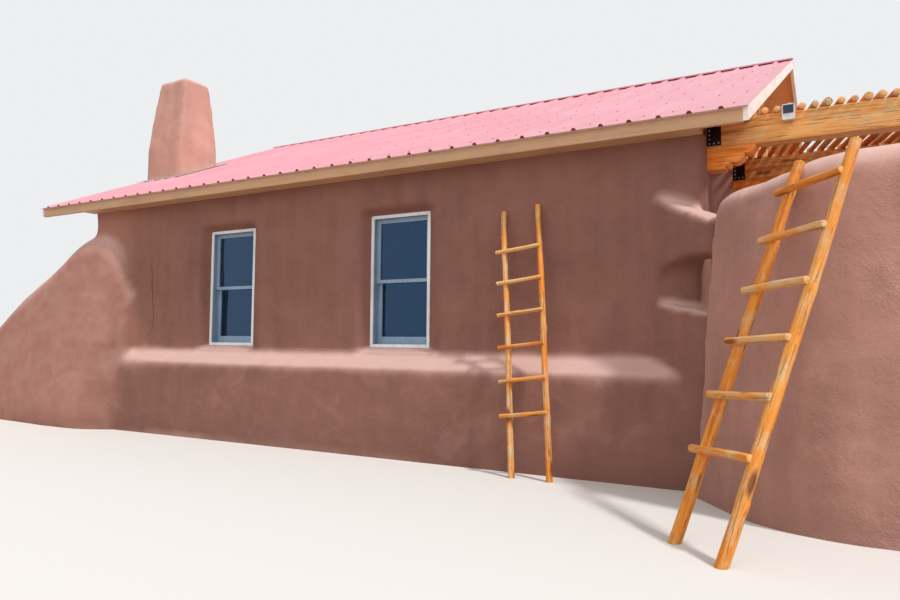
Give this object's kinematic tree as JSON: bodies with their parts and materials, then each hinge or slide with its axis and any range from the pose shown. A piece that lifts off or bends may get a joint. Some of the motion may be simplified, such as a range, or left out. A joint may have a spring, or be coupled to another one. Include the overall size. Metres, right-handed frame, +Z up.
{
  "type": "adobe house",
  "caption": "Single-storey adobe house with a low ribbed-metal gable roof, sculpted buttresses, a patio wall with an arched opening, a pole pergola and leaning ladders.",
  "frame": {"origin": "middle of the house plan, below the ridge, on the underside of the floor slab at ground level", "axes": "+X along the front wall towards the pergola, +Y towards the back, +Z up; the front wall faces -Y"},
  "size_m": [14.2171, 10.8264, 5.05],
  "materials": {
    "adobe": "sand-floated earth-coloured stucco, rough and matt",
    "floor_brick": "brick pavers, matt",
    "roof_metal": "faded red baked enamel, satin",
    "flashing_metal": "pale weathered paint",
    "eave_paint": "tan exterior paint on boards, satin",
    "barge_paint": "off-white exterior paint on boards, satin",
    "gable_boards": "tan exterior paint on boards and battens",
    "roof_timber": "sawn softwood, bare",
    "window_trim": "white vinyl-clad trim, satin",
    "sash_paint": "grey-blue clad sash, satin",
    "window_glass": "clear double-strength glass",
    "door_wood": "stained softwood",
    "beam_wood": "honey stain on cracked weathered timber",
    "pole_wood": "honey stain on peeled poles",
    "strap_steel": "black painted steel plate",
    "lamp_housing": "white weatherproof housing",
    "ladder_wood": "orange-honey stain on peeled poles"
  },
  "bodies": {
    "root": {"back_eave": "eave_paint", "back_left_window_frame": "window_trim", "back_left_window_glass": "window_glass", "back_left_window_sashes": "sash_paint", "back_right_window_frame": "window_trim", "back_right_window_glass": "window_glass", "back_right_window_sashes": "sash_paint", "back_roof_boards": "roof_timber", "back_roof_sheet": "roof_metal", "back_wall": "adobe", "beam_lamp": "lamp_housing", "ceiling_ties": "roof_timber", "chimney_flashing": "flashing_metal", "chimney_stack": "adobe", "door_frame": "door_wood", "door_leaf": "door_wood", "floor_slab": "floor_brick", "front_banco": "adobe", "front_eave": "eave_paint", "front_left_window_frame": "window_trim", "front_left_window_glass": "window_glass", "front_left_window_sashes": "sash_paint", "front_right_window_frame": "window_trim", "front_right_window_glass": "window_glass", "front_right_window_sashes": "sash_paint", "front_roof_boards": "roof_timber", "front_roof_sheet": "roof_metal", "front_wall": "adobe", "left_barge_boards": "barge_paint", "left_buttress": "adobe", "left_gable": "gable_boards", "left_wall": "adobe", "patio_ladder": "ladder_wood", "patio_wall_bend": "adobe", "patio_wall_run": "adobe", "patio_wall_straight": "adobe", "pergola_beams": "beam_wood", "pergola_poles_1": "pole_wood", "pergola_poles_2": "pole_wood", "pergola_posts": "beam_wood", "post_corbels": "beam_wood", "rafters": "roof_timber", "ridge_board": "roof_timber", "ridge_cap": "roof_metal", "right_barge_boards": "barge_paint", "right_gable": "gable_boards", "right_wall": "adobe", "strap_plates": "strap_steel", "wall_corbels": "beam_wood", "wall_ladder": "ladder_wood", "wing_wall": "adobe"}
  },
  "joints": []
}
